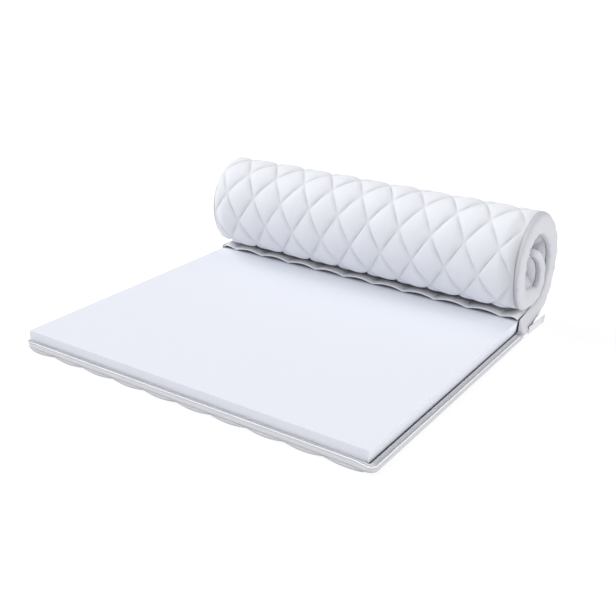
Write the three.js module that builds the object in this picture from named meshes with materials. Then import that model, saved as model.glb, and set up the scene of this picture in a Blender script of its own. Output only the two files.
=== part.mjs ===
// A foam mattress topper in a quilted zip cover: open and flat in front, closed and rolled up behind.
// Millimetres, Z up. The front edge of the foam is at y = 0 until the last step, which centres the part.
import * as THREE from "three";

// Foam core
const CORE_HALF = 600;
const OPEN_LENGTH = 960;
const ROLLED_HALF = 598;

// Quilted panels
const PANEL = 13;
const GAP = 0.4;
const PERIODS = 10;
const QUILT_LENGTH = 197.5;
const FLAT_GROOVE = 3;
const ROLL_GROOVE = 8.5;
const TOP_GROOVE = 7;
const PRESSED = 0.7;
const PANEL_FRONT = -14;
const PANEL_FLARE = 16;
const FLAT_SEAM = 4;
const ROLL_SEAM = 10;
const FLAT_SHOULDER = 30;
const ROLL_SHOULDER = 46;
const TOP_SEAM = 6;
const COARSE = 2;
const FINE = 3;
const PLAIN_COLUMNS = 4;

// The outer face of the bottom panel as it leaves the floor, goes round and ends inside the roll.
// thick is the height of the closed cover there, core the height of the foam's inner face.
const COIL = [
  { y: 880, z: 0, thick: 71, core: 56 },
  { y: 950, z: 0, thick: 71, core: 56 },
  { y: 1020, z: 0, thick: 71, core: 56 },
  { y: 1062, z: 0.5, thick: 71, core: 56 },
  { y: 1108, z: 7, thick: 70.5, core: 55 },
  { y: 1154, z: 22, thick: 69, core: 52 },
  { y: 1194, z: 47, thick: 64, core: 47 },
  { y: 1222, z: 88, thick: 60, core: 43 },
  { y: 1240, z: 140, thick: 60, core: 43 },
  { y: 1249, z: 195, thick: 62, core: 45 },
  { y: 1243, z: 248, thick: 66, core: 49 },
  { y: 1218, z: 300, thick: 72, core: 55 },
  { y: 1174, z: 348, thick: 78, core: 61 },
  { y: 1118, z: 383, thick: 80, core: 63 },
  { y: 1054, z: 397, thick: 82, core: 65 },
  { y: 985, z: 384, thick: 84, core: 67 },
  { y: 930, z: 347, thick: 84, core: 67 },
  { y: 897, z: 292, thick: 84, core: 67 },
  { y: 886, z: 232, thick: 84, core: 67 },
  { y: 897, z: 168, thick: 82, core: 65 },
  { y: 927, z: 111, thick: 80, core: 63 },
  { y: 976, z: 81, thick: 79, core: 62 },
  { y: 1030, z: 75.5, thick: 76, core: 59 },
  { y: 1070, z: 75.5, thick: 70, core: 53 },
  { y: 1110, z: 85, thick: 60, core: 43 },
  { y: 1138, z: 114, thick: 50, core: 33 },
  { y: 1147, z: 152, thick: 44, core: 27 },
  { y: 1140, z: 194, thick: 40, core: 23 },
  { y: 1114, z: 233, thick: 38, core: 21 },
  { y: 1074, z: 264, thick: 36, core: 20 },
  { y: 1026, z: 292, thick: 36, core: 20 },
];

// Puffed front edge of the bottom panel at a crease: y, z, and how far a crown stands out and drops.
const FRONT_EDGE = [
  { y: -15, z: 12.6, out: 1, drop: 0 },
  { y: -19, z: 8.4, out: 2.2, drop: 0.8 },
  { y: -20, z: 3, out: 2.4, drop: 1.8 },
];
// Right front corner of the panel, from the front edge rows on: distance from the foam corner to the right
// and to the front, for the last column but one and for the last.
const CORNER = [
  { rightA: -8, frontA: 15, rightB: 0, frontB: 14.4 },
  { rightA: -4, frontA: 19.5, rightB: 12, frontB: 11 },
  { rightA: -3, frontA: 21, rightB: 15, frontB: 9 },
  { rightA: -8, frontA: 14, rightB: 13, frontB: 5 },
  { rightA: -12, frontA: 6, rightB: 14, frontB: 0 },
];

// Folded front edge of the top panel at a crease: y, z, and how much of the wave each row takes.
const NOSE = [
  { y: 1010, z: 56.4, lift: 0 },
  { y: 994, z: 56.6, lift: 0.75 },
  { y: 972, z: 57, lift: 1 },
  { y: 964, z: 57.6, lift: 1 },
  { y: 961, z: 60.1, lift: 1 },
  { y: 964, z: 62.9, lift: 1 },
  { y: 974, z: 64.4, lift: 1 },
  { y: 990, z: 64.4, lift: 1 },
];
const NOSE_WAVE = 8;
const NOSE_ROW = 1010;

// Side border: a section as lateral distance from the foam on each side, and height.
// The cover lies a little off the foam, so its rim stands further out on the right than on the left.
const RIM = [
  { right: 6, left: 1.2, front: 1, up: 13.6, rise: 0 },
  { right: 6, left: 1.2, front: 1, up: 22, rise: 0 },
  { right: 9, left: 2.4, front: 3, up: 24, rise: 0 },
  { right: 17, left: 3.2, front: 7.5, up: 22.9, rise: 0.6 },
  { right: 26, left: 6.2, front: 12.5, up: 18.3, rise: 2.4 },
  { right: 30, left: 6.6, front: 16.6, up: 11.8, rise: 4.8 },
  { right: 28, left: 6, front: 17.6, up: 6.6, rise: 7.4 },
  { right: 18.6, left: 1.4, front: 15.2, up: 5.2, rise: 8.5 },
  { right: 17, left: 0.8, front: 14.4, up: 13.6, rise: 0 },
];
// The same points where the cover is closed: lateral distance, share of the flare, share of the height,
// height, how much higher the point is on the roll, and how much of the gape at the open end it takes.
const CLOSED = [
  { out: 0.6, flare: 0, share: 0, up: 20, wound: 0, gape: 1 },
  { out: 0.6, flare: 0, share: 1, up: -7.5, wound: 0, gape: 1 },
  { out: 3, flare: 0, share: 1, up: -5, wound: 0, gape: 0.9 },
  { out: 7, flare: 0.15, share: 0.8, up: 0, wound: 0, gape: 0.5 },
  { out: 9.5, flare: 0.5, share: 0.55, up: 0, wound: 0, gape: 0 },
  { out: 9.5, flare: 0.85, share: 0.32, up: 0, wound: 3, gape: 0 },
  { out: 8.5, flare: 0.95, share: 0.16, up: 1.5, wound: 5.5, gape: 0 },
  { out: 4, flare: 1, share: 0, up: 6.1, wound: 4.6, gape: 0 },
  { out: 1, flare: 1, share: 0, up: 14.6, wound: 0, gape: 0 },
];
const GAPE = 5.5;
const GAPE_LENGTH = 95;
const RIM_END = 954;
const CLOSED_START = 961;
const CORNER_STEPS = 5;

// Zip half on the rim, slider and label
const ZIP_WIDTH = [0.15, 0.95];
const ZIP_RISE = [0.7, 2.2];
const ZIP_END = 932;
const SLIDER = { y: 943, out: 15, up: 23.8, tilt: 0.16 };
// Slider section across the rim: lateral distance, height, and how much of the pull's reach the point takes.
const SLIDER_SECTION = [
  { out: -6, up: 0, reach: 0 },
  { out: 6, up: 0, reach: 0 },
  { out: 6, up: 3, reach: 0 },
  { out: 7, up: 3.2, reach: 1 },
  { out: 7, up: 4.8, reach: 1 },
  { out: 4, up: 6, reach: 0 },
  { out: -4, up: 6, reach: 0 },
  { out: -6, up: 4.4, reach: 0 },
];
// Distance along the zip and reach of the pull there.
const SLIDER_STATIONS = [
  { along: -8.5, reach: 0 },
  { along: -4.4, reach: 0 },
  { along: -3.2, reach: 7.4 },
  { along: 3.2, reach: 7.4 },
  { along: 4.4, reach: 0 },
  { along: 8.5, reach: 0 },
];
// Label: stations along the right side seam, and how far its lower and upper edges stand out from the foam.
const LABEL = [
  { y: 1003, low: 24.1, high: 25.6 },
  { y: 1046, low: 25.4, high: 28.2 },
  { y: 1090, low: 27.4, high: 30.6 },
  { y: 1132, low: 29, high: 32 },
];
const LABEL_THICK = 1;
const LABEL_RISE = [2.5, 16, 31];

const clamp01 = (t) => Math.min(1, Math.max(0, t));
const ease = (t) => clamp01(t) ** 2 * (3 - 2 * clamp01(t));

// Path of the bottom panel's outer face: the table's curve in even steps, evened out and measured again.
const coil = new THREE.CatmullRomCurve3(COIL.map((c) => new THREE.Vector3(0, c.y, c.z)));
const STEPS = 420;
const SMOOTHING = 45;
function pathSteps() {
  const steps = [];
  for (let k = 0; k <= STEPS; k += 1) {
    const t = coil.getUtoTmapping(k / STEPS);
    const row = t * (COIL.length - 1);
    const i = Math.min(COIL.length - 2, Math.floor(row));
    const between = (column) => COIL[i][column] + (COIL[i + 1][column] - COIL[i][column]) * (row - i);
    const point = coil.getPoint(t);
    steps.push([point.y, point.z, between("thick"), between("core")]);
  }
  for (let pass = 0; pass < SMOOTHING; pass += 1) {
    const before = steps.map((q) => q.slice());
    for (let k = 1; k < STEPS; k += 1) {
      steps[k] = before[k].map((v, c) => (before[k - 1][c] + 2 * v + before[k + 1][c]) / 4);
    }
  }
  return steps;
}
const FLAT_END = COIL[0].y - PANEL_FRONT;
const STEP_LIST = pathSteps();
const REACHED = [FLAT_END];
for (let k = 1; k <= STEPS; k += 1) {
  const [a, b] = [STEP_LIST[k - 1], STEP_LIST[k]];
  REACHED.push(REACHED[k - 1] + Math.hypot(b[0] - a[0], b[1] - a[1]));
}
const PATH_LENGTH = REACHED[STEPS];

function directionAt(k) {
  const a = STEP_LIST[Math.max(0, k - 1)];
  const b = STEP_LIST[Math.min(STEPS, k + 1)];
  return new THREE.Vector3(0, b[0] - a[0], b[1] - a[1]).normalize();
}

// Position, direction, inward normal and local heights at a length s along the path.
function at(s) {
  if (s <= FLAT_END) {
    return {
      point: new THREE.Vector3(0, PANEL_FRONT + s, 0),
      normal: new THREE.Vector3(0, 0, 1),
      along: new THREE.Vector3(0, 1, 0),
      thick: COIL[0].thick,
      core: COIL[0].core,
    };
  }
  let k = 1;
  while (k < STEPS && REACHED[k] < s) k += 1;
  const f = clamp01((s - REACHED[k - 1]) / (REACHED[k] - REACHED[k - 1]));
  const [y, z, thick, core] = STEP_LIST[k].map((v, c) => STEP_LIST[k - 1][c] * (1 - f) + v * f);
  const along = directionAt(k - 1).lerp(directionAt(k), f).normalize();
  return {
    point: new THREE.Vector3(0, y, Math.max(0, z)),
    normal: new THREE.Vector3(0, -along.z, along.y),
    along,
    thick,
    core,
  };
}

const FOLD = NOSE_ROW - PANEL_FRONT;
const rolled = (s) => ease((s - FOLD) / 160);
const coreHalf = (s) => CORE_HALF + (ROLLED_HALF - CORE_HALF) * rolled(s);
const flare = (s) => PANEL_FLARE * (1 - rolled(s));
const PANEL_CORNER = [
  { s: 0, half: 601 },
  { s: 8, half: 612 },
  { s: 20, half: 615 },
  { s: 48, half: 616 },
];
function panelHalf(s) {
  if (s >= 48) return coreHalf(s) + flare(s);
  const i = PANEL_CORNER.findIndex((c) => s < c.s) - 1;
  const [a, b] = [PANEL_CORNER[i], PANEL_CORNER[i + 1]];
  return a.half + ((b.half - a.half) * (s - a.s)) / (b.s - a.s);
}
const panelLeft = (s) => -coreHalf(s);

// Height of the quilting, 0 on a crease and 1 on a crown.
// The lines cross at whole values of across and along.
function puff(across, along) {
  const a = Math.abs(Math.sin(Math.PI * (across + along)));
  const b = Math.abs(Math.sin(Math.PI * (across - along)));
  return (a * b) ** 0.45;
}

// How far the quilted face lies below its crown level. Above the pressed share of its height a crown is flat.
function dip(u, along, half, groove, seam, shoulder, shift, pressed) {
  const edge = clamp01((Math.abs(u) * half - (half - shoulder)) / shoulder);
  const round = 1 - Math.sqrt(1 - edge * edge);
  const hill = Math.min(1, puff((u * PERIODS) / 2 + shift, along) / pressed);
  return seam * round + groove * (1 - hill) * (1 - edge ** 3);
}

// Vertex store and faces of one closed body
class Body {
  constructor() {
    this.points = [];
    this.faces = [];
  }
  add(point) {
    this.points.push(point.x, point.y, point.z);
    return this.points.length / 3 - 1;
  }
  row(points) {
    return points.map((p) => this.add(p));
  }
  face(a, b, c, flip) {
    if (flip) this.faces.push(a, c, b);
    else this.faces.push(a, b, c);
  }
  // Strip between two polylines whose points are ordered by the parameters given.
  bridge(a, b, ta, tb, flip) {
    let i = 0;
    let k = 0;
    while (i < a.length - 1 || k < b.length - 1) {
      const nextA = i < a.length - 1 ? ta[i + 1] : Infinity;
      const nextB = k < b.length - 1 ? tb[k + 1] : Infinity;
      if (nextA <= nextB) {
        this.face(a[i], a[i + 1], b[k], flip);
        i += 1;
      } else {
        this.face(a[i], b[k + 1], b[k], flip);
        k += 1;
      }
    }
  }
  // Flat end over a ring of points, wound anticlockwise in the plane of its shape, or the other way.
  cap(ring, shape, anticlockwise) {
    THREE.ShapeUtils.triangulateShape(shape, []).forEach(([a, b, c]) => {
      const clockwise = THREE.ShapeUtils.isClockWise([shape[a], shape[b], shape[c]]);
      this.face(ring[a], ring[b], ring[c], clockwise === anticlockwise);
    });
  }
  // Quilted strip between rows of equal length, its diagonals along the creases. step counts from a crossing.
  weave(a, b, step, cells, shift, flip) {
    for (let j = 0; j < a.length - 1; j += 1) {
      const across = j - (a.length - 1) / 2 + shift;
      const rising = (((across - step) % cells) + cells) % cells === 0;
      if (rising) {
        this.face(a[j], a[j + 1], b[j + 1], flip);
        this.face(a[j], b[j + 1], b[j], flip);
      } else {
        this.face(a[j], a[j + 1], b[j], flip);
        this.face(a[j + 1], b[j + 1], b[j], flip);
      }
    }
  }
  geometry() {
    const made = new THREE.BufferGeometry();
    made.setAttribute("position", new THREE.Float32BufferAttribute(this.points, 3));
    made.setIndex(this.faces);
    made.computeVertexNormals();
    return made;
  }
}

const columns = (n) => Array.from({ length: n + 1 }, (_, j) => -1 + (2 * j) / n);
const COARSE_U = columns(PERIODS * COARSE * 2);
const FINE_U = columns(PERIODS * FINE * 2);
const PLAIN_U = columns(PLAIN_COLUMNS);

// Rows along the path: coarse under the flat part, fine from the last crossing before the roll.
const coarseStep = QUILT_LENGTH / (COARSE * 2);
const fineStep = QUILT_LENGTH / (FINE * 2);
const FINE_FROM = 5 * QUILT_LENGTH;
const COARSE_ROWS = [0, 8, 20];
for (let s = coarseStep; s < FINE_FROM - 1; s += coarseStep) COARSE_ROWS.push(s);
const FINE_ROWS = [];
for (let s = FINE_FROM; s < PATH_LENGTH - 8; s += fineStep) FINE_ROWS.push(s);
const TAIL = FINE_ROWS[FINE_ROWS.length - 1];

function place(here, u, half, height, left = -half) {
  return here.point.clone().addScaledVector(here.normal, height).setX(Math.max(left, u * half));
}

// The last two points of an outer row go round the right front corner.
function roundCorner(line, k) {
  const c = CORNER[k];
  const last = line.length - 1;
  line[last - 1].setX(CORE_HALF + c.rightA).setY(-c.frontA);
  line[last].setX(CORE_HALF + c.rightB).setY(-c.frontB);
}

// Bottom panel: quilted outside, plain inside.
function bottomPanel() {
  const body = new Body();
  const outer = [];
  const inner = [];
  FRONT_EDGE.forEach((f, k) => {
    const line = COARSE_U.map((u) => {
      const hill = puff((u * PERIODS) / 2, 0);
      const x = Math.max(panelLeft(0), u * CORE_HALF);
      return new THREE.Vector3(x, f.y - f.out * hill, f.z - f.drop * hill);
    });
    roundCorner(line, k);
    outer.push({ s: k - FRONT_EDGE.length, ids: body.row(line), us: COARSE_U });
  });
  const build = (s, us) => {
    const here = at(s);
    const half = panelHalf(s);
    const left = panelLeft(s);
    const groove = FLAT_GROOVE + (ROLL_GROOVE - FLAT_GROOVE) * rolled(s);
    const seam = FLAT_SEAM + (ROLL_SEAM - FLAT_SEAM) * rolled(s);
    const shoulder = FLAT_SHOULDER + (ROLL_SHOULDER - FLAT_SHOULDER) * rolled(s);
    const pressed = PRESSED + (1 - PRESSED) * rolled(s);
    const line = us.map((u) => {
      const low = dip(u, s / QUILT_LENGTH, half, groove, seam, shoulder, 0, pressed);
      return place(here, u, half, low, left);
    });
    if (outer.length < CORNER.length) roundCorner(line, outer.length);
    outer.push({ s, ids: body.row(line), us });
    const plain = s < 1 || s === TAIL ? us : PLAIN_U;
    const backing = plain.map((u) => place(here, u, half, PANEL, left));
    inner.push({ s, ids: body.row(backing), us: plain });
  };
  COARSE_ROWS.forEach((s) => build(s, COARSE_U));
  FINE_ROWS.forEach((s) => build(s, FINE_U));
  for (let i = 0; i < outer.length - 1; i += 1) {
    const a = outer[i];
    const b = outer[i + 1];
    if (a.us.length !== b.us.length) body.bridge(a.ids, b.ids, a.us, b.us, true);
    else {
      const cells = a.us === FINE_U ? FINE * 2 : COARSE * 2;
      const step = Math.max(0, Math.floor((a.s / QUILT_LENGTH) * cells + 0.01));
      body.weave(a.ids, b.ids, step, cells, 0, true);
    }
  }
  for (let i = 0; i < inner.length - 1; i += 1) {
    body.bridge(inner[i].ids, inner[i + 1].ids, inner[i].us, inner[i + 1].us, false);
  }
  closeSheet(body, outer, inner, false);
  return body.geometry();
}

// Side and end strips of a sheet whose two faces are given as rows.
function closeSheet(body, outer, inner, flip) {
  const edge = (rows, j) => rows.map((r) => (j < 0 ? r.ids[r.ids.length - 1] : r.ids[0]));
  const so = outer.map((r) => r.s);
  const si = inner.map((r) => r.s);
  body.bridge(edge(outer, 0), edge(inner, 0), so, si, !flip);
  body.bridge(edge(outer, -1), edge(inner, -1), so, si, flip);
  const first = [outer[0], inner[0]];
  const last = [outer[outer.length - 1], inner[inner.length - 1]];
  if (first[0].ids !== first[1].ids) {
    body.bridge(first[0].ids, first[1].ids, first[0].us, first[1].us, flip);
  }
  body.bridge(last[0].ids, last[1].ids, last[0].us, last[1].us, !flip);
}

// Foam core: one slab, flat and sharp in front, wound between the panels behind.
function foamCore() {
  const body = new Body();
  const stations = [0, 320, 640, OPEN_LENGTH].map((y) => y - PANEL_FRONT);
  stations.push(FOLD);
  FINE_ROWS.filter((s) => s > FOLD).forEach((s) => stations.push(s));
  const low = [];
  const high = [];
  stations.forEach((s) => {
    const here = at(s);
    const half = coreHalf(s);
    low.push({ s, us: PLAIN_U, ids: body.row(PLAIN_U.map((u) => place(here, u, half, PANEL + GAP))) });
    high.push({ s, us: PLAIN_U, ids: body.row(PLAIN_U.map((u) => place(here, u, half, here.core))) });
  });
  for (let i = 0; i < stations.length - 1; i += 1) {
    body.bridge(low[i].ids, low[i + 1].ids, PLAIN_U, PLAIN_U, true);
    body.bridge(high[i].ids, high[i + 1].ids, PLAIN_U, PLAIN_U, false);
  }
  closeSheet(body, low, high, false);
  return body.geometry();
}

// Top panel: its folded front edge waves over the foam, the rest is quilted on the inside of the roll.
function topPanel() {
  const body = new Body();
  const quilted = [];
  NOSE.forEach((n) => {
    const half = coreHalf(FOLD);
    const line = COARSE_U.map((u) => {
      const edge = clamp01((Math.abs(u) * half - (half - FLAT_SHOULDER)) / FLAT_SHOULDER);
      const wave = NOSE_WAVE * n.lift * puff((u * PERIODS) / 2 + 0.5, 0) * (1 - edge ** 3);
      return new THREE.Vector3(u * half, n.y, n.z + wave);
    });
    quilted.push({ s: -1, ids: body.row(line), us: COARSE_U });
  });
  const rows = FINE_ROWS.filter((s) => s > FOLD);
  const quiltRows = [];
  for (let s = FOLD; s < TAIL - 6; s += coarseStep) quiltRows.push(s);
  quiltRows.push(TAIL);
  quiltRows.forEach((s) => {
    const here = at(s);
    const half = coreHalf(s);
    const line = COARSE_U.map((u) => {
      const low = dip(u, (s - FOLD) / QUILT_LENGTH, half, TOP_GROOVE, TOP_SEAM, FLAT_SHOULDER, 0.5, 1);
      return place(here, u, half, here.thick - low);
    });
    quilted.push({ s, ids: body.row(line), us: COARSE_U });
  });
  for (let i = 0; i < quilted.length - 1; i += 1) {
    const step = i < NOSE.length ? 0 : i - NOSE.length;
    body.weave(quilted[i].ids, quilted[i + 1].ids, step, COARSE * 2, COARSE, false);
  }
  const plain = [{ s: FOLD, ids: quilted[0].ids, us: COARSE_U }];
  rows.forEach((s) => {
    const here = at(s);
    const us = s === TAIL ? COARSE_U : PLAIN_U;
    const line = us.map((u) => place(here, u, coreHalf(s), here.core + GAP));
    plain.push({ s, ids: body.row(line), us });
  });
  for (let i = 0; i < plain.length - 1; i += 1) {
    const a = plain[i];
    const b = plain[i + 1];
    body.bridge(a.ids, b.ids, a.us, b.us, true);
  }
  const folded = quilted.slice(0, NOSE.length + 1);
  const wound = quilted.slice(NOSE.length);
  const side = (rowsGiven, j) => rowsGiven.map((r) => (j < 0 ? r.ids[r.ids.length - 1] : r.ids[0]));
  [0, -1].forEach((j) => {
    const ring = side(folded, j);
    const shape = ring.map((id) => new THREE.Vector2(body.points[id * 3 + 1], body.points[id * 3 + 2]));
    body.cap(ring, shape, j < 0);
    const ends = [wound.map((r) => r.s), plain.map((r) => r.s)];
    body.bridge(side(wound, j), side(plain, j), ...ends, j !== 0);
  });
  const last = [quilted[quilted.length - 1], plain[plain.length - 1]];
  body.bridge(last[0].ids, last[1].ids, last[0].us, last[1].us, false);
  return body.geometry();
}

// Stations of the border loop: where it starts from the foam's edge, which way is out, and its shape there.
function borderStations() {
  const sideRows = [14, 110, 300, 500, 700, 860];
  sideRows.push(RIM_END - PANEL_FRONT, CLOSED_START - PANEL_FRONT, 990, FOLD);
  FINE_ROWS.filter((s) => s > FOLD).forEach((s) => sideRows.push(s));
  const X = new THREE.Vector3(1, 0, 0);
  const station = (s, x, out, front, closed) => {
    const here = at(s);
    const origin = here.point.clone().setX(x);
    return { s, origin, out, up: here.normal, front, closed, thick: here.thick, right: x > 0 };
  };
  const side = (s, sign) => {
    const closed = s > RIM_END - PANEL_FRONT + 1 ? 1 : 0;
    return station(s, sign * coreHalf(s), X.clone().multiplyScalar(sign), 0, closed);
  };
  const list = [];
  const start = -PANEL_FRONT;
  for (let k = 0; k <= PERIODS * 2; k += 1) {
    const x = -CORE_HALF + (2 * CORE_HALF * k) / (PERIODS * 2);
    list.push(station(start, x, new THREE.Vector3(0, -1, 0), 1, 0));
  }
  for (let k = 1; k < CORNER_STEPS; k += 1) {
    const turn = (k / CORNER_STEPS) * (Math.PI / 2);
    const out = new THREE.Vector3(Math.sin(turn), -Math.cos(turn), 0);
    list.push(station(start, CORE_HALF, out, 1 - k / CORNER_STEPS, 0));
  }
  sideRows.forEach((s) => list.push(side(s, 1)));
  const tail = at(TAIL);
  const tailTurn = (k, sign) => {
    const turn = (k / CORNER_STEPS) * (Math.PI / 2);
    const out = X.clone().multiplyScalar(sign * Math.cos(turn)).addScaledVector(tail.along, Math.sin(turn));
    return station(TAIL, sign * coreHalf(TAIL), out, 0, 1);
  };
  for (let k = 1; k <= CORNER_STEPS; k += 1) list.push(tailTurn(k, 1));
  for (let k = 1; k < 4; k += 1) {
    list.push(station(TAIL, coreHalf(TAIL) * (1 - k / 2), tail.along.clone(), 0, 1));
  }
  for (let k = CORNER_STEPS; k >= 1; k -= 1) list.push(tailTurn(k, -1));
  sideRows.slice().reverse().forEach((s) => list.push(side(s, -1)));
  for (let k = CORNER_STEPS - 1; k >= 1; k -= 1) {
    const turn = (k / CORNER_STEPS) * (Math.PI / 2);
    const out = new THREE.Vector3(-Math.sin(turn), -Math.cos(turn), 0);
    list.push(station(start, -CORE_HALF, out, 1 - k / CORNER_STEPS, 0));
  }
  return list;
}

function borderSection(station) {
  if (!station.closed) {
    return RIM.map((r) => {
      const side = station.right ? r.right : r.left;
      return [side + (r.front - side) * station.front, r.up + r.rise * station.front];
    });
  }
  const spread = station.right ? flare(station.s) : 0;
  const open = station.right ? GAPE * (1 - ease((station.s + PANEL_FRONT - CLOSED_START) / GAPE_LENGTH)) : 0;
  const wound = rolled(station.s);
  return CLOSED.map((c) => [
    c.out + c.flare * spread + c.gape * open,
    c.share * station.thick + c.up + c.wound * wound,
  ]);
}

const inSection = (station, [out, up]) =>
  station.origin.clone().addScaledVector(station.out, out).addScaledVector(station.up, up);

// A section carried along stations, as a loop or with two capped ends.
function sweep(stations, sections, looped) {
  const body = new Body();
  const rings = stations.map((st, i) => body.row(sections[i].map((q) => inSection(st, q))));
  const n = sections[0].length;
  const turned = THREE.ShapeUtils.isClockWise(sections[0].map((q) => new THREE.Vector2(...q)));
  const count = looped ? rings.length : rings.length - 1;
  for (let i = 0; i < count; i += 1) {
    const a = rings[i];
    const b = rings[(i + 1) % rings.length];
    for (let j = 0; j < n; j += 1) {
      const k = (j + 1) % n;
      body.face(a[j], a[k], b[j], !turned);
      body.face(a[k], b[k], b[j], !turned);
    }
  }
  if (!looped) {
    [0, rings.length - 1].forEach((end) => {
      const shape = sections[end].map((q) => new THREE.Vector2(...q));
      body.cap(rings[end], shape, end === 0);
    });
  }
  return body.geometry();
}

function sideBorder() {
  const stations = borderStations();
  return sweep(stations, stations.map(borderSection), true);
}

// Lower zip half: a flat strip on the slope of the rim, from the left side round the front to the right side.
function zipHalf() {
  const all = borderStations();
  const open = all.filter((st) => !st.closed && st.s < RIM_END - PANEL_FRONT - 1);
  const firstLeft = open.findIndex((st) => st.out.x < -0.99);
  const left = open.slice(firstLeft);
  const stations = [...left, ...open.slice(0, firstLeft)];
  const atEnd = (st) => ({ ...st, origin: st.origin.clone().setY(ZIP_END) });
  stations.unshift(atEnd(stations[0]));
  stations.push(atEnd(stations[stations.length - 1]));
  const sections = stations.map((st) => {
    const section = borderSection(st);
    const from = new THREE.Vector2(...section[3]);
    const to = new THREE.Vector2(...section[4]);
    const slope = to.clone().sub(from);
    const rise = new THREE.Vector2(-slope.y, slope.x).normalize();
    const point = (share, height) => from.clone().addScaledVector(slope, share).addScaledVector(rise, height);
    return [
      point(ZIP_WIDTH[0], ZIP_RISE[0]),
      point(ZIP_WIDTH[1], ZIP_RISE[0]),
      point(ZIP_WIDTH[1], ZIP_RISE[1]),
      point(ZIP_WIDTH[0], ZIP_RISE[1]),
    ].map((q) => [q.x, q.y]);
  });
  return sweep(stations, sections, false);
}

// Slider with its pull laid across the rim.
function zipSlider() {
  const stations = SLIDER_STATIONS.map((q) => ({
    origin: new THREE.Vector3(CORE_HALF + SLIDER.out, SLIDER.y + q.along, SLIDER.up),
    out: new THREE.Vector3(Math.cos(SLIDER.tilt), 0, -Math.sin(SLIDER.tilt)),
    up: new THREE.Vector3(Math.sin(SLIDER.tilt), 0, Math.cos(SLIDER.tilt)),
  }));
  const sections = SLIDER_STATIONS.map((q) => SLIDER_SECTION.map((c) => [c.out + c.reach * q.reach, c.up]));
  return sweep(stations, sections, false);
}

// Blank label: it leaves the side seam and stands along the border.
function label() {
  const stations = LABEL.map((q) => ({
    origin: new THREE.Vector3(CORE_HALF, q.y, 0),
    out: new THREE.Vector3(1, 0, 0),
    up: new THREE.Vector3(0, 0, 1),
  }));
  const sections = LABEL.map((q) => {
    const near = LABEL_RISE.map((up, i) => [q.low + ((q.high - q.low) * i) / (LABEL_RISE.length - 1), up]);
    const far = near.map(([out, up]) => [out + LABEL_THICK, up]).reverse();
    return [...near, ...far];
  });
  return sweep(stations, sections, false);
}

function colour(hex, roughness) {
  return new THREE.MeshStandardMaterial({ color: hex, roughness, metalness: 0 });
}

const root = new THREE.Group();
root.name = "foam_mattress_topper";
function addPart(name, geometry, material) {
  const mesh = new THREE.Mesh(geometry, material);
  mesh.name = name;
  root.add(mesh);
}

addPart("bottom_panel", bottomPanel(), colour(0xf4f5fa, 0.9));
addPart("foam_core", foamCore(), colour(0xf3f6fd, 0.85));
addPart("top_panel", topPanel(), colour(0xf0f1f7, 0.9));
addPart("side_border", sideBorder(), colour(0xdcdde8, 0.85));
addPart("zip_half", zipHalf(), colour(0xc9cbd6, 0.7));
addPart("zip_slider", zipSlider(), colour(0xa9abb4, 0.45));
addPart("label", label(), colour(0xfbfbfd, 0.7));

// The origin goes to the middle of the footprint, on the floor.
const box = new THREE.Box3().setFromObject(root);
const middle = box.getCenter(new THREE.Vector3());
root.children.forEach((m) => m.geometry.translate(-middle.x, -middle.y, -box.min.z));

export default root;
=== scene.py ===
# A foam mattress topper in a quilted zip cover, open and flat in front, closed and rolled up behind.
import math
from collections import namedtuple

import bpy
import numpy as np
from mathutils import Matrix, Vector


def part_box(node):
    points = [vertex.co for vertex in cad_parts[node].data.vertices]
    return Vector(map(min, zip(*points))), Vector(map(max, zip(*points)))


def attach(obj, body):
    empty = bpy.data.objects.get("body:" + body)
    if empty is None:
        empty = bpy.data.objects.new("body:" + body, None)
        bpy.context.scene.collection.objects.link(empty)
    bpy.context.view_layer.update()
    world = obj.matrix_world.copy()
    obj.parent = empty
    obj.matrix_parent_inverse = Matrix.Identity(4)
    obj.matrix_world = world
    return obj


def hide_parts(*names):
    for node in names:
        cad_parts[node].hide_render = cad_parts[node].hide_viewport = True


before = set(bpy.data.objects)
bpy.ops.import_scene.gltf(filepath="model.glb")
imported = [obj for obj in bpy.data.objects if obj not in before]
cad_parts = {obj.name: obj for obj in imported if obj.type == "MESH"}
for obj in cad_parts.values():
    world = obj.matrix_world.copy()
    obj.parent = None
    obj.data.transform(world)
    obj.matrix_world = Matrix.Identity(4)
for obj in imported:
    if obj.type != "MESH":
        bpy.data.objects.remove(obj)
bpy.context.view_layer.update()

# Foam core
# One slab of soft white foam, cut from a block with crisp edges. In front it lies bare in the open
# cover; behind it goes on inside the closed cover and winds up with it.
CORE_LOW, CORE_HIGH = (np.array(corner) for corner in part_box("foam_core"))
MIDDLE_X = (CORE_LOW[0] + CORE_HIGH[0]) / 2
FRONT_Y = CORE_LOW[1]
CORE_BASE = round(CORE_LOW[2], 4)
# Half the foam's width where it lies flat, and in the roll, where the cover draws it in at both ends.
CORE_HALF = round((CORE_HIGH[0] - CORE_LOW[0]) / 2, 4)
END_DRAWN_IN = 0.010
ROLLED_HALF = CORE_HALF - END_DRAWN_IN
# How much the roll's left end reaches out from there again, and how much taller than its path the roll
# stands, as a share: at its middle, and more at its right end.
LEFT_END_OUT = 0.008
TALLER, TALLER_RIGHT = 0.010, 0.013
# Lengths along the cover start at PANEL_FRONT, in front of the foam's own front. At FOLD the top panel's
# folded edge lies, and over ROLL_IN behind it the flat form goes over into the roll's.
PANEL_FRONT = -0.014
FOLD = 1.024
ROLL_IN = 0.16
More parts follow.
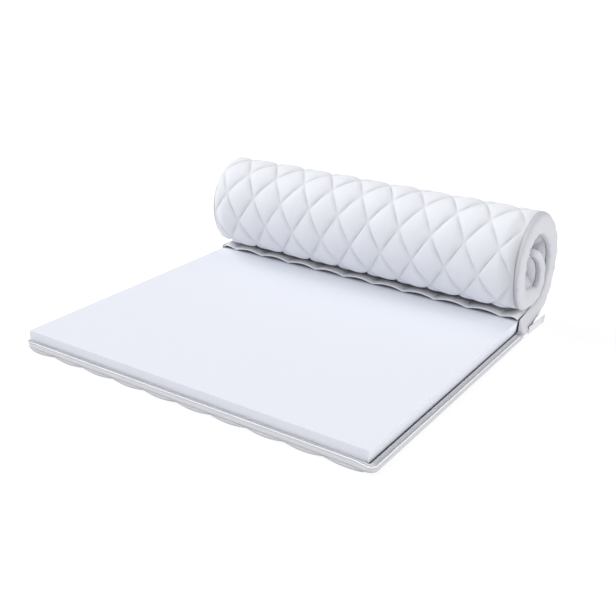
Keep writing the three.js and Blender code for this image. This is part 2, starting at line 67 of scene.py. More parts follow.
# The cover's outer face where it leaves the floor and winds up: y and z in millimetres, height of the
# closed cover there, height of the foam's upper face.
COIL = np.array([
    (880, 0, 71, 56), (950, 0, 71, 56), (1020, 0, 71, 56), (1062, 0.5, 71, 56),
    (1108, 7, 70.5, 55), (1154, 22, 69, 52), (1194, 47, 64, 47), (1222, 88, 60, 43),
    (1240, 140, 60, 43), (1249, 195, 62, 45), (1243, 248, 66, 49), (1218, 300, 72, 55),
    (1174, 348, 78, 61), (1118, 383, 80, 63), (1054, 397, 82, 65), (985, 384, 84, 67),
    (930, 347, 84, 67), (897, 292, 84, 67), (886, 232, 84, 67), (897, 168, 82, 65),
    (927, 111, 80, 63), (976, 81, 79, 62), (1030, 75.5, 76, 59), (1070, 75.5, 70, 53),
    (1110, 85, 60, 43), (1138, 114, 50, 33), (1147, 152, 44, 27), (1140, 194, 40, 23),
    (1114, 233, 38, 21), (1074, 264, 36, 20), (1026, 292, 36, 20),
]) / 1000


def wound_path(table, count=420, passes=45):
    """The path of the cover's outer face: a smooth curve through the table's points, in even steps.

    Its rows are length along it, y, z, height of the closed cover and height of the foam."""
    line = table[:, :2]
    ends = np.vstack([2 * line[0] - line[1], line, 2 * line[-1] - line[-2]])
    share = np.linspace(0, 1, 20, endpoint=False)[:, None]
    dense = []
    for i in range(len(table) - 1):
        a, b, c, d = ends[i:i + 4]
        ab, bc, cd = (math.sqrt(np.linalg.norm(q - p)) for p, q in ((a, b), (b, c), (c, d)))
        leave = ((b - a) / ab - (c - a) / (ab + bc) + (c - b) / bc) * bc
        reach = ((c - b) / bc - (d - b) / (bc + cd) + (d - c) / cd) * bc
        square = -3 * b + 3 * c - 2 * leave - reach
        cube = 2 * b - 2 * c + leave + reach
        curve = b + leave * share + square * share**2 + cube * share**3
        dense.append(np.hstack([curve, table[i, 2:] * (1 - share) + table[i + 1, 2:] * share]))
    dense = np.vstack(dense + [table[-1:]])
    run = np.r_[0, np.cumsum(np.linalg.norm(np.diff(dense[:, :2], axis=0), axis=1))]
    even = np.linspace(0, run[-1], count + 1)
    rows = np.column_stack([np.interp(even, run, dense[:, c]) for c in range(4)])
    for _ in range(passes):
        rows[1:-1] = (rows[:-2] + 2 * rows[1:-1] + rows[2:]) / 4
    rows = np.vstack([[PANEL_FRONT, 0, *table[0, 2:]], rows])
    run = np.r_[0, np.cumsum(np.linalg.norm(np.diff(rows[:, :2], axis=0), axis=1))]
    return np.column_stack([run, rows])


PATH = wound_path(COIL)
# Its columns after the length.
PATH_Y, PATH_Z, COVER_TOP, FOAM_TOP = 1, 2, 3, 4
WAY = np.gradient(PATH[:, 1:3], PATH[:, 0], axis=0)
WAY[:2] = (1, 0)
# Length of a diamond of the quilting. The tail ends on a whole sixth of one, short of the path's end.
QUILT_LENGTH = 0.1975
SIXTH = QUILT_LENGTH / 6
TAIL_SHORT = 0.008
TAIL = SIXTH * math.floor((PATH[-1, 0] - TAIL_SHORT) / SIXTH - 0.0001)


def along_path(s, column):
    return np.interp(s, PATH[:, 0], PATH[:, column])


def way_along(s):
    """The path's direction at a length s along it, as its parts along y and z."""
    return np.interp(s, PATH[:, 0], WAY[:, 0]), np.interp(s, PATH[:, 0], WAY[:, 1])


def ease(t):
    t = np.clip(t, 0, 1)
    return t * t * (3 - 2 * t)


def rolled(s):
    """0 where the mattress lies flat, 1 in the roll."""
    return ease((s - FOLD) / ROLL_IN)


def at_height(s, x, height):
    """Points at a length s along the path, at x across the mattress and at a height over the outer face.

    The roll stands a little taller towards its right end, and its left end reaches a little further out."""
    s, x, height = np.broadcast_arrays(s, x, height)
    way_y, way_z = way_along(s)
    size = np.hypot(way_y, way_z)
    y = along_path(s, PATH_Y) - way_z / size * height
    z = np.maximum(0, along_path(s, PATH_Z)) + way_y / size * height
    z = z * (1 + rolled(s) * (TALLER + TALLER_RIGHT * x / CORE_HALF))
    x = x + rolled(s) * LEFT_END_OUT * np.minimum(x, 0) / ROLLED_HALF
    return np.stack([x + MIDDLE_X, y + FRONT_Y, z], axis=-1)


def core_half(s):
    return CORE_HALF + (ROLLED_HALF - CORE_HALF) * rolled(s)


END_DIP = 0.0065
END_DIP_WIDTH = 0.04


def end_dip(u, s):
    """How much further in the foam and the panel's inner face lie by the roll's ends, drawn in by the seam.

    u goes from -1 at the left end to 1 at the right one."""
    return END_DIP * rolled(s) * ease((np.abs(u) - 1) * core_half(s) / END_DIP_WIDTH + 1)


def grid_faces(rows, columns, first=0, flip=False, looped=False):
    """Faces of a grid of points numbered row by row. A looped grid joins its last column to its first."""
    i, j = np.meshgrid(np.arange(rows - 1), np.arange(columns if looped else columns - 1), indexing="ij")
    k = (j + 1) % columns
    here, next_row = i * columns, (i + 1) * columns
    faces = np.stack([here + j, here + k, next_row + k, next_row + j], axis=-1).reshape(-1, 4) + first
    return (faces[:, ::-1] if flip else faces).tolist()


def add_object(name, data):
    added = bpy.data.objects.new(name, data)
    bpy.context.scene.collection.objects.link(added)
    return added


def add_mesh(name, points, faces, uv=None):
    """A smooth-shaded mesh piece. uv holds one place on the cloth, in metres, for each point."""
    mesh = bpy.data.meshes.new(name)
    mesh.from_pydata(np.asarray(points).reshape(-1, 3).tolist(), [], faces)
    mesh.polygons.foreach_set("use_smooth", [True] * len(mesh.polygons))
    if uv is not None:
        layer = mesh.uv_layers.new(name="cloth")
        corner = np.empty(len(mesh.loops), dtype=np.int32)
        mesh.loops.foreach_get("vertex_index", corner)
        layer.data.foreach_set("uv", np.asarray(uv, dtype=np.float32).reshape(-1, 2)[corner].ravel())
    mesh.update()
    return add_object(name, mesh)


def shader(name, colour, roughness):
    """A material, its node tree and its main shader with a plain colour and roughness set on it."""
    material = bpy.data.materials.new(name)
    material.use_nodes = True
    tree = material.node_tree
    main = tree.nodes["Principled BSDF"]
    main.inputs["Base Color"].default_value = (*colour, 1)
    main.inputs["Roughness"].default_value = roughness
    return material, tree, main


def add_node(tree, kind, **values):
    """A shader node with values on its inputs, an underline in a name standing for a blank."""
    node = tree.nodes.new("ShaderNode" + kind)
    for name, value in values.items():
        node.inputs[name.replace("_", " ")].default_value = value
    return node


def add_bump(tree, main, height, strength, distance):
    bump = add_node(tree, "Bump", Strength=strength, Distance=distance)
    tree.links.new(height, bump.inputs["Height"])
    tree.links.new(bump.outputs["Normal"], main.inputs["Normal"])


def add_grain(tree, main, scale, depth, bands=None):
    """Fine relief and an uneven gloss on a plain material.

    The relief is grain, or woven ribs where bands names their way."""
    place = add_node(tree, "TexCoord")
    grain = add_node(tree, "TexNoise", Scale=scale)
    tree.links.new(place.outputs["Object"], grain.inputs["Vector"])
    roughness = main.inputs["Roughness"].default_value
    gloss = add_node(tree, "MapRange", To_Min=roughness - 0.1, To_Max=roughness + 0.1)
    tree.links.new(grain.outputs["Fac"], gloss.inputs["Value"])
    tree.links.new(gloss.outputs["Result"], main.inputs["Roughness"])
    height = grain.outputs["Fac"]
    if bands:
        ribs = add_node(tree, "TexWave", Scale=scale, Distortion=1)
        ribs.bands_direction = bands
        tree.links.new(place.outputs["Object"], ribs.inputs["Vector"])
        height = ribs.outputs["Fac"]
    add_bump(tree, main, height, strength=0.3, distance=depth)


def rise_along(tree, vector, axis, low, high):
    """A share that rises from 0 to 1 as a vector's part along an axis goes from low to high."""
    split = add_node(tree, "SeparateXYZ")
    share = add_node(tree, "MapRange", From_Min=low, From_Max=high)
    tree.links.new(vector, split.inputs["Vector"])
    tree.links.new(split.outputs[axis], share.inputs["Value"])
    return share.outputs["Result"]


def facing(tree, axis, low, high):
    """A share that rises from 0 to 1 as the surface turns to face along an axis, from low to high."""
    return rise_along(tree, add_node(tree, "NewGeometry").outputs["Normal"], axis, low, high)


def on_cloth(tree, axis, low, high):
    """A share that rises from 0 to 1 over the cloth itself, from low to high in metres along its X or Y."""
    place = add_node(tree, "UVMap")
    place.uv_map = "cloth"
    return rise_along(tree, place.outputs["UV"], axis, low, high)


def mix_colours(tree, factor, blend="MIX"):
    """A mix of two colours by a factor: its two colour inputs and its colour output."""
    mix = add_node(tree, "Mix")
    mix.data_type = "RGBA"
    mix.blend_type = blend
    tree.links.new(factor, mix.inputs["Factor"])
    first, second = (socket for socket in mix.inputs if socket.type == "RGBA")
    mixed = next(socket for socket in mix.outputs if socket.type == "RGBA")
    return first, second, mixed


def shade_hollows(tree, main, reach, deepest, closed, opened, where=None):
    """Paint shade into the colour in hollows, darkening it down to the share of itself that deepest gives.

    It darkens as the openness of a place within reach falls from opened to closed, and only as much as the
    share where lets it."""
    plain = tuple(main.inputs["Base Color"].default_value)
    openness = add_node(tree, "AmbientOcclusion", Distance=reach)
    openness.samples = 8
    share = add_node(tree, "MapRange", From_Min=closed, From_Max=opened)
    tree.links.new(openness.outputs["AO"], share.inputs["Value"])
    factor = share.outputs["Result"]
    if where is not None:
        only = add_node(tree, "Mix", A=1)
        tree.links.new(where, only.inputs["Factor"])
        tree.links.new(factor, only.inputs["B"])
        factor = only.outputs["Result"]
    dark, light, mixed = mix_colours(tree, factor)
    dark.default_value = (*[c * deepest for c in plain[:3]], 1)
    light.default_value = plain
    tree.links.new(mixed, main.inputs["Base Color"])


def tone(tree, main, where, share):
    """The colour goes to a share of itself as where goes from 0 to 1."""
    before, toned, mixed = mix_colours(tree, where, "MULTIPLY")
    tree.links.new(main.inputs["Base Color"].links[0].from_socket, before)
    toned.default_value = (share, share, share, 1)
    tree.links.new(mixed, main.inputs["Base Color"])


# Steps of the mesh along the foam, flat and in the roll, and its points across it and up its sides.
FLAT_STEP, ROLL_STEP = 0.03, 0.018
CORE_ACROSS, CORE_UP = 33, 4
core_s = np.unique(np.concatenate([
    np.arange(-PANEL_FRONT, FOLD, FLAT_STEP), np.arange(FOLD, TAIL, ROLL_STEP), [TAIL],
]))
core_u = np.linspace(-1, 1, CORE_ACROSS)
core_up = np.linspace(0, 1, CORE_UP)[1:-1]
core_rows = []
for s in core_s:
    half = core_half(s)
    top = along_path(s, FOAM_TOP)
    base = CORE_BASE + end_dip(1, s)
    low = at_height(s, core_u * half, CORE_BASE + end_dip(core_u, s))
    high = at_height(s, core_u[::-1] * half, top)
    right = at_height(s, half, base + (top - base) * core_up)
    left = at_height(s, -half, base + (top - base) * core_up[::-1])
    core_rows.append(np.vstack([low, right, high, left]))
core_points = np.array(core_rows)
ring = core_points.shape[1]
core_faces = grid_faces(len(core_s), ring, looped=True)
width = len(core_u)
sides = len(core_up)
# The front end and the tail are closed by a grid of lines between the ring's lower and upper row.
for row, flip in ((0, False), (len(core_s) - 1, True)):
    first = row * ring
    levels = [list(range(first, first + width))]
    for level, share in enumerate(core_up):
        right_id = first + width + level
        left_id = first + 2 * width + 2 * sides - 1 - level
        inner = []
        for j in range(1, width - 1):
            low, high = core_points[row, j], core_points[row, 2 * width + sides - 1 - j]
            inner.append(low * (1 - share) + high * share)
        start = sum(len(r) for r in core_rows)
        core_rows.append(np.array(inner))
        levels.append([left_id, *range(start, start + len(inner)), right_id])
    levels.append(list(range(first + 2 * width + sides - 1, first + width + sides - 1, -1)))
    for below, above in zip(levels, levels[1:]):
        for j in range(width - 1):
            face = [below[j], below[j + 1], above[j + 1], above[j]]
            core_faces.append(face[::-1] if flip else face)
core = add_mesh("bare_foam", np.vstack(core_rows), core_faces)
bevel = core.modifiers.new("cut_edge", "BEVEL")
bevel.width = 0.002
bevel.segments = 3
bevel.limit_method = "ANGLE"
bevel.angle_limit = math.radians(50)
bevel.harden_normals = True
foam_material, tree, main = shader("foam", (0.752, 0.775, 0.84), roughness=0.9)
coordinates = add_node(tree, "TexCoord")
cells = add_node(tree, "TexVoronoi", Scale=620)
tree.links.new(coordinates.outputs["Object"], cells.inputs["Vector"])
add_bump(tree, main, cells.outputs["Distance"], strength=0.25, distance=0.0006)
# The right side stands close to the rim; painted shade darkens it in the gap between them.
right_side = facing(tree, "X", 0.6, 0.9)
shade_hollows(tree, main, reach=0.008, deepest=0.03, closed=0.35, opened=0.6, where=right_side)
# Painted shade: the sides are a little darker than the top.
tone(tree, main, facing(tree, "Z", 0.7, 0.3), share=0.957)
# Painted light: next to the roll, where the roll shades it, the foam is made a little lighter.
painted_light_by_the_roll = rise_along(tree, coordinates.outputs["Object"], "Y", FRONT_Y + 0.89, FRONT_Y + 0.955)
tone(tree, main, painted_light_by_the_roll, share=1.15)
core.data.materials.append(foam_material)
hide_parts("foam_core")
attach(core, "root")

# Bottom panel
# Two layers of knit fabric with wadding between, quilted in diamonds by a machine. It is the cover's
# underside, and on the roll its outer face. Its crowns are pressed flat where it lies on the floor.

# Thickness of the quilting, and how far its right edge stands out from the foam where the cover is open.
PANEL = 0.013
PANEL_FLARE = 0.016
# Diamonds across, and steps of the mesh to a diamond.
PERIODS = 10
STEPS = 24
# Where it lies flat and on the roll: width of the edge that the seam draws in, depth of a crease, and how
# far the edge is drawn in.
FLAT_SHOULDER, ROLL_SHOULDER = 0.030, 0.056
FLAT_GROOVE, ROLL_GROOVE = 0.003, 0.011
FLAT_SEAM, ROLL_SEAM = 0.004, 0.018
# How full a crown is, how unevenly the diamonds are filled, and the ripple of the cloth on them.
CROWN_FORM = 0.43
UNEVEN = 0.1
RIPPLE = 0.0003
# Share of a crown's height above which the floor presses it flat.
PRESSED = 0.7
# Front edge at a crease and at a crown: y and z in millimetres, from the inner face to the outer face.
EDGE_CREASE = [(-14, 13), (-15.4, 12.6), (-17.2, 11), (-18.2, 9), (-18, 7.2), (-16.4, 6)]
EDGE_CROWN = [(-14, 13), (-16.2, 12.4), (-19.9, 10), (-22, 6.4), (-22.4, 3.2), (-20.2, 0.8)]
EDGE_FRONT = min(y for y, z in EDGE_CROWN) / 1000
# Depth of a crease at that edge, and the length over which it becomes that of the flat part.
EDGE_GROOVE = 0.0055
EDGE_GROOVE_LENGTH = 0.06
# How much cloth the turn of the edge takes, and how far before the flat part its last row ends.
EDGE_CLOTH = 0.02
LAST_ROW = 0.002
# How wide and how deep the round corners of the open cover are in plan.
RIGHT_CORNER = (0.030, 0.030)
LEFT_CORNER = (0.040, 0.022)


def flare(s):
    return PANEL_FLARE * (1 - rolled(s))


def puff(across, along):
    """Height of the quilting, 0 on a crease and 1 on a crown."""
    a = np.abs(np.sin(np.pi * (across + along)))
    b = np.abs(np.sin(np.pi * (across - along)))
    return (a * b) ** CROWN_FORM


def diagonal_faces(rows, columns, first_step, first_across, cells, flip):
    """Triangles of a quilted grid, their diagonals along the creases.

    A diamond is cells steps wide and long. first_step and first_across number the first row and column."""
    i, j = np.meshgrid(np.arange(rows - 1), np.arange(columns - 1), indexing="ij")
    a, b, c, d = (i * columns + j, i * columns + j + 1, (i + 1) * columns + j + 1, (i + 1) * columns + j)
    rising = (j + first_across - i - first_step) % cells
    falling = (j + first_across + i + first_step + 1) % cells
    up = (falling != 0) & ((rising < cells / 2) == (falling < cells / 2)) | (rising == 0)
    one = np.where(up[..., None], np.stack([a, b, c], -1), np.stack([a, b, d], -1))
    two = np.where(up[..., None], np.stack([a, c, d], -1), np.stack([b, c, d], -1))
    faces = np.vstack([one.reshape(-1, 3), two.reshape(-1, 3)])
    return (faces[:, ::-1] if flip else faces).tolist()


def panel_x(u, s):
    """Distance across for u from -1 to 1. Only the right edge stands out from the foam's side."""
    return u * core_half(s) + flare(s) * ease((u - 0.8) / 0.2)


def seam_depth(s):
    """How far the panel's edge is drawn in at its seam: on the roll most where that faces the front."""
    facing_front = np.clip(-way_along(s)[1], 0, 1)
    return FLAT_SEAM + (ROLL_SEAM * (0.25 + 0.75 * facing_front) - FLAT_SEAM) * rolled(s)


def quilt_height(u, s, along, groove, seam, shoulder, shift, pressed):
    """How far the quilted face lies below its crown level, a little uneven from diamond to diamond."""
    half = core_half(s)
    edge = np.clip((np.abs(u) * half - (half - shoulder)) / shoulder, 0, 1)
    across = u * PERIODS / 2 + shift
    hill = np.minimum(1, puff(across, along) / pressed)
    # A number of its own for each diamond, made from its place in the two directions of the creases.
    cell = np.floor(across + along) * 12.9898 + np.floor(across - along) * 78.233
    varied = 1 + UNEVEN * np.sin(cell * 43.7)
    ripple = RIPPLE * np.sin(31 * u + 47 * s + cell) * np.sin(67 * u - 29 * s)
    drawn_in = edge**1.7
    return seam * drawn_in + (groove * (1 - hill * varied) + ripple * hill) * (1 - edge**3)


def round_corners(points):
    """Points of the flat part moved so that the cover's front corners are round in plan."""
    x, y = points[..., 0] - MIDDLE_X, points[..., 1] - FRONT_Y
    right, left = (1, CORE_HALF + PANEL_FLARE, *RIGHT_CORNER), (-1, CORE_HALF, *LEFT_CORNER)
    for side, edge, wide, deep in (right, left):
        a = np.clip((side * x - edge + wide) / wide, 0, 1)
        b = np.clip((EDGE_FRONT + deep - y) / deep, 0, 1)
        inside = (a > 0) & (b > 0)
        x = np.where(inside, side * (edge - wide + wide * a * np.sqrt(1 - b * b / 2)), x)
        y = np.where(inside, EDGE_FRONT + deep - deep * b * np.sqrt(1 - a * a / 2), y)
    return np.stack([x + MIDDLE_X, y + FRONT_Y, points[..., 2]], axis=-1)


def edge_strips(faces, first, outer, side_lips, end_lip, flip):
    """Points of the strips that join a panel's outer face to its inner one, at both sides and at the tail.

    Their faces are added to the panel's, numbered from first."""
    strips = []
    for column, lip, turned in ((0, side_lips[0], flip), (-1, side_lips[1], not flip)):
        strips.append(np.stack([outer[:, column], lip], axis=1))
        faces += grid_faces(len(lip), 2, first, flip=turned)
        first += 2 * len(lip)
    strips.append(np.stack([outer[-1], end_lip], axis=0))
    faces += grid_faces(2, len(end_lip), first, flip=not flip)
    return strips


def crease_lines(grid, first_step, first_across, cells):
    """The lines of a quilted grid that run along its creases, numbered as for diagonal_faces."""
    rows, columns = grid.shape[:2]
    lines = []
    for slant in (1, -1):
        for start in range(-2 * cells * PERIODS, 3 * cells * PERIODS, cells):
            line = []
            for i in range(rows):
                j = start - first_across + slant * (i + first_step)
                if 1 < j < columns - 2:
                    line.append(grid[i, j])
            if len(line) > 2:
                lines.append(np.array(line))
    return lines


def sew(name, lines, pitch, size, material, solid="stitch"):
    """Copies of a small solid along lines of points: a pointed stitch, or a block for a tooth."""
    mesh = bpy.data.meshes.new(name)
    edges = []
    count = 0
    for line in lines:
        edges += [(count + k, count + k + 1) for k in range(len(line) - 1)]
        count += len(line)
    mesh.from_pydata(np.vstack(lines).tolist(), edges, [])
    piece = add_object(name, mesh)
    group = bpy.data.node_groups.new(name, "GeometryNodeTree")
    socket = {}
    inputs = {"Lines": "Geometry", "Pitch": "Float", "Size": "Vector", "Material": "Material"}
    for label, kind in inputs.items():
        made = group.interface.new_socket(label, in_out="INPUT", socket_type="NodeSocket" + kind)
        socket[label] = made.identifier
    group.interface.new_socket("Geometry", in_out="OUTPUT", socket_type="NodeSocketGeometry")
    start, end = group.nodes.new("NodeGroupInput"), group.nodes.new("NodeGroupOutput")
    curve = group.nodes.new("GeometryNodeMeshToCurve")
    even = group.nodes.new("GeometryNodeResampleCurve")
    even.mode = "LENGTH"
    tangent = group.nodes.new("GeometryNodeInputTangent")
    turn = group.nodes.new("FunctionNodeAlignRotationToVector")
    turn.axis = "X"
    copies = group.nodes.new("GeometryNodeInstanceOnPoints")
    if solid == "block":
        one = group.nodes.new("GeometryNodeMeshCube")
        one.inputs["Size"].default_value = (1, 1, 1)
    else:
        one = group.nodes.new("GeometryNodeMeshUVSphere")
        one.inputs["Segments"].default_value = 4
        one.inputs["Rings"].default_value = 3
        one.inputs["Radius"].default_value = 0.5
    real = group.nodes.new("GeometryNodeRealizeInstances")
    paint = group.nodes.new("GeometryNodeSetMaterial")
    for giver, output, taker, taken in (
        (start, "Lines", curve, "Mesh"),
        (curve, "Curve", even, "Curve"),
        (start, "Pitch", even, "Length"),
        (tangent, "Tangent", turn, "Vector"),
        (even, "Curve", copies, "Points"),
        (one, "Mesh", copies, "Instance"),
        (turn, "Rotation", copies, "Rotation"),
        (start, "Size", copies, "Scale"),
        (copies, "Instances", real, "Geometry"),
        (real, "Geometry", paint, "Geometry"),
        (start, "Material", paint, "Material"),
        (paint, "Geometry", end, "Geometry"),
    ):
        group.links.new(giver.outputs[output], taker.inputs[taken])
    modifier = piece.modifiers.new(name, "NODES")
    modifier.node_group = group
    modifier[socket["Pitch"]] = pitch
    modifier[socket["Size"]] = size
    modifier[socket["Material"]] = material
    graph = bpy.context.evaluated_depsgraph_get()
    sewn = bpy.data.meshes.new_from_object(piece.evaluated_get(graph))
    piece.modifiers.clear()
    piece.data = sewn
    return piece


under_u = np.linspace(-1, 1, PERIODS * STEPS + 1)
under_s = np.arange(0, TAIL + 1e-6, QUILT_LENGTH / STEPS)
turn = rolled(under_s)[:, None]
groove = FLAT_GROOVE + (ROLL_GROOVE - FLAT_GROOVE) * turn
groove += (EDGE_GROOVE - FLAT_GROOVE) * (1 - ease(under_s / EDGE_GROOVE_LENGTH))[:, None]
under_low = quilt_height(
    under_u[None, :], under_s[:, None],
    along=under_s[:, None] / QUILT_LENGTH,
    groove=groove,
    seam=seam_depth(under_s)[:, None],
    shoulder=FLAT_SHOULDER + (ROLL_SHOULDER - FLAT_SHOULDER) * turn,
    shift=0,
    pressed=PRESSED + (1 - PRESSED) * turn,
)
# Where it lies on the floor, nothing reaches below it.
under_low = np.where(turn < 0.02, np.maximum(under_low, 0), under_low)
under_outer = at_height(under_s[:, None], panel_x(under_u[None, :], under_s[:, None]), under_low)
hill = puff(under_u * PERIODS / 2, 0)[:, None]
nose_rows = []
for crease, crown in zip(EDGE_CREASE, EDGE_CROWN):
    y, z = (np.array(crease) * (1 - hill) + np.array(crown) * hill).T / 1000
    nose_rows.append(np.stack([panel_x(under_u, 0) + MIDDLE_X, y + FRONT_Y, z], axis=-1))
under_points = round_corners(np.concatenate([np.array(nose_rows), under_outer]))
nose = len(nose_rows)
first_across = -PERIODS * STEPS // 2
under_faces = diagonal_faces(len(under_points), len(under_u), -nose, first_across, STEPS, True)
shown_faces = len(under_faces)
# The inner face is plain and its grid coarser, with one more column by each end where the dip begins.
DIP_COLUMN = 0.9375
back_s = np.append(under_s[::6], TAIL)
back_u = np.unique(np.append(under_u[::12], (-DIP_COLUMN, DIP_COLUMN)))
back_height = PANEL + end_dip(back_u[None, :], back_s[:, None])
back_points = at_height(back_s[:, None], panel_x(back_u[None, :], back_s[:, None]), back_height)
back_points = round_corners(back_points)
back_first = under_points.shape[0] * under_points.shape[1]
back_count = back_points.shape[0] * back_points.shape[1]
under_faces += grid_faces(len(back_s), len(back_u), back_first)
lip_height = PANEL + end_dip(1, under_s)
lips = [round_corners(at_height(under_s, panel_x(u, under_s), lip_height)) for u in (-1, 1)]
end_lip = at_height(TAIL, panel_x(under_u, TAIL), PANEL + end_dip(under_u, TAIL))
strips = edge_strips(under_faces, back_first + back_count, under_points[nose:], lips, end_lip, flip=False)
points = np.vstack([a.reshape(-1, 3) for a in (under_points, back_points, *strips)])
under_uv = np.column_stack([points[:, 0], np.zeros(len(points))])
rows_s = np.concatenate([np.linspace(-EDGE_CLOTH, -LAST_ROW, nose), under_s])
under_uv[:back_first, 1] = np.repeat(rows_s, len(under_u))
under_uv[back_first:back_first + back_count, 1] = np.repeat(back_s, len(back_u))
under = add_mesh("quilted_underside", points, under_faces, under_uv)


def knit(name, colour):
    """Fine white knit: ribs and a slight unevenness, laid out in metres on the cloth."""
    material, tree, main = shader(name, colour, roughness=0.82)
    main.inputs["Sheen Weight"].default_value = 0.12
    place = add_node(tree, "UVMap")
    place.uv_map = "cloth"
    textures = []
    for bands, scale, distortion in (("X", 190, 1.5), ("Y", 150, 1.0)):
        ribs = add_node(tree, "TexWave", Scale=scale, Distortion=distortion)
        ribs.bands_direction = bands
        textures.append(ribs)
    textures.append(add_node(tree, "TexNoise", Scale=55))
    for texture in textures:
        tree.links.new(place.outputs["UV"], texture.inputs["Vector"])
    height = textures[0].outputs["Fac"]
    for texture in textures[1:]:
        total = add_node(tree, "Math")
        tree.links.new(height, total.inputs[0])
        tree.links.new(texture.outputs["Fac"], total.inputs[1])
        height = total.outputs[0]
    add_bump(tree, main, height, strength=0.2, distance=0.0006)
    return material, tree, main


# Near black for the cover's inside where it shows: painted shade in the gaps and under the fold.
painted_shade_inside, tree, main = shader("painted_shade_inside", (0.08, 0.082, 0.09), roughness=0.85)
add_grain(tree, main, scale=300, depth=0.0006, bands="X")
thread, tree, main = shader("sewing_thread", (0.70, 0.715, 0.76), roughness=0.6)
add_grain(tree, main, scale=900, depth=0.0001, bands="DIAGONAL")
quilted, tree, main = knit("quilted_knit", (0.765, 0.78, 0.83))
# Painted shade in the creases and hollows, left off right by the right seam.
RIGHT_SEAM = MIDDLE_X + ROLLED_HALF
off_the_seam = on_cloth(tree, "X", RIGHT_SEAM - 0.004, RIGHT_SEAM - 0.03)
shade_hollows(tree, main, reach=0.03, deepest=0.43, closed=0.3, opened=0.72, where=off_the_seam)
# Painted shade: the slopes that face right and the cloth by the right seam are made greyer.
tone(tree, main, facing(tree, "X", 0.1, 0.6), share=0.88)
tone(tree, main, on_cloth(tree, "X", RIGHT_SEAM - 0.05, RIGHT_SEAM), share=0.9)
# The cloth of the front edge, which stands on end below the rim, painted a shade greyer than the border's
# weave.
band, tree, main = knit("band_weave", (0.60, 0.61, 0.655))
# Painted shade in its hollows and by the floor, where it stands upright.
upright = facing(tree, "Z", 0.8, 0.4)
shade_hollows(tree, main, reach=0.04, deepest=0.5, closed=0.3, opened=0.8, where=upright)
for cloth in (quilted, painted_shade_inside, band):
    under.data.materials.append(cloth)
# Its inner face takes the near-black inside, painted shade, and the front edge rows the greyer band.
cloth_of_face = np.zeros(len(under_faces), dtype=np.int32)
for half_of_quad in (0, shown_faces // 2):
    cloth_of_face[half_of_quad:half_of_quad + nose * (len(under_u) - 1)] = 2
cloth_of_face[shown_faces:shown_faces + (len(back_s) - 1) * (len(back_u) - 1)] = 1
under.data.polygons.foreach_set("material_index", cloth_of_face)
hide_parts("bottom_panel")
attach(under, "root")
# The machine's stitches lie in the creases, their thread drawn into the wadding: distance from one to the
# next, and length, width and height of each.
QUILTING_PITCH = 0.0055
QUILTING_STITCH = (0.0040, 0.0007, 0.0007)
under_creases = crease_lines(under_outer, 0, first_across, STEPS)
under_stitches = sew("underside_stitches", under_creases, QUILTING_PITCH, QUILTING_STITCH, thread)
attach(under_stitches, "root")

# Top panel
# The same quilted fabric on the foam's upper side. Its front edge is folded under and waves over the
# bare foam; the rest is the inner face of the roll.
TOP_STEPS = 20
# Depth of a crease, how far the edge is drawn in at its seam, and the gap left above the foam.
TOP_GROOVE, TOP_SEAM = 0.007, 0.006
LINING_GAP = 0.0004
# Height of the waves of the folded edge, and how much of the cloth's length goes into the fold.
NOSE_WAVE = 0.0105
NOSE_CLOTH = 0.11
# The folded edge at a crease: y and z in millimetres, and how much of the wave the row takes.
NOSE = [
    (1010, 56.4, 0), (1002, 56.5, 0.35), (994, 56.6, 0.75), (984, 56.7, 0.92), (972, 57, 1), (966, 57.4, 1),
    (962.5, 58.3, 1), (961, 60, 1), (962, 61.7, 1), (964.5, 63, 1), (969, 63.9, 1), (976, 64.5, 1),
    (986, 64.6, 1), (998, 64.3, 1),
]
# How many of these rows lie under the fold.
UNDER_HEM = 5
# The last step of a mesh before the tail is no shorter than this.
LEAST_STEP = 0.004
top_u = np.linspace(-1, 1, PERIODS * TOP_STEPS + 1)
top_s = np.append(np.arange(FOLD, TAIL - LEAST_STEP, QUILT_LENGTH / TOP_STEPS), TAIL)
top_half = core_half(top_s)[:, None]
top_low = quilt_height(
    top_u[None, :], top_s[:, None],
    along=(top_s[:, None] - FOLD) / QUILT_LENGTH,
    groove=TOP_GROOVE,
    seam=TOP_SEAM,
    shoulder=FLAT_SHOULDER,
    shift=0.5,
    pressed=1,
)
top_height = along_path(top_s, COVER_TOP)[:, None] - top_low
top_points = at_height(top_s[:, None], top_u[None, :] * top_half, top_height)
wave_edge = np.clip((np.abs(top_u) * CORE_HALF - (CORE_HALF - FLAT_SHOULDER)) / FLAT_SHOULDER, 0, 1)
wave = NOSE_WAVE * puff(top_u * PERIODS / 2 + 0.5, 0) * (1 - wave_edge**3)
nose_rows = []
for y, z, lift in NOSE:
    row = [top_u * CORE_HALF + MIDDLE_X, np.full(len(top_u), y / 1000 + FRONT_Y), z / 1000 + wave * lift]
    nose_rows.append(np.stack(row, axis=-1))
all_top = np.concatenate([np.array(nose_rows), top_points])
# The diamonds lie half a diamond further across than the bottom panel's.
top_across = -PERIODS * TOP_STEPS // 2 + TOP_STEPS // 2
top_faces = diagonal_faces(len(all_top), len(top_u), -len(NOSE), top_across, TOP_STEPS, False)
shown_faces = len(top_faces)
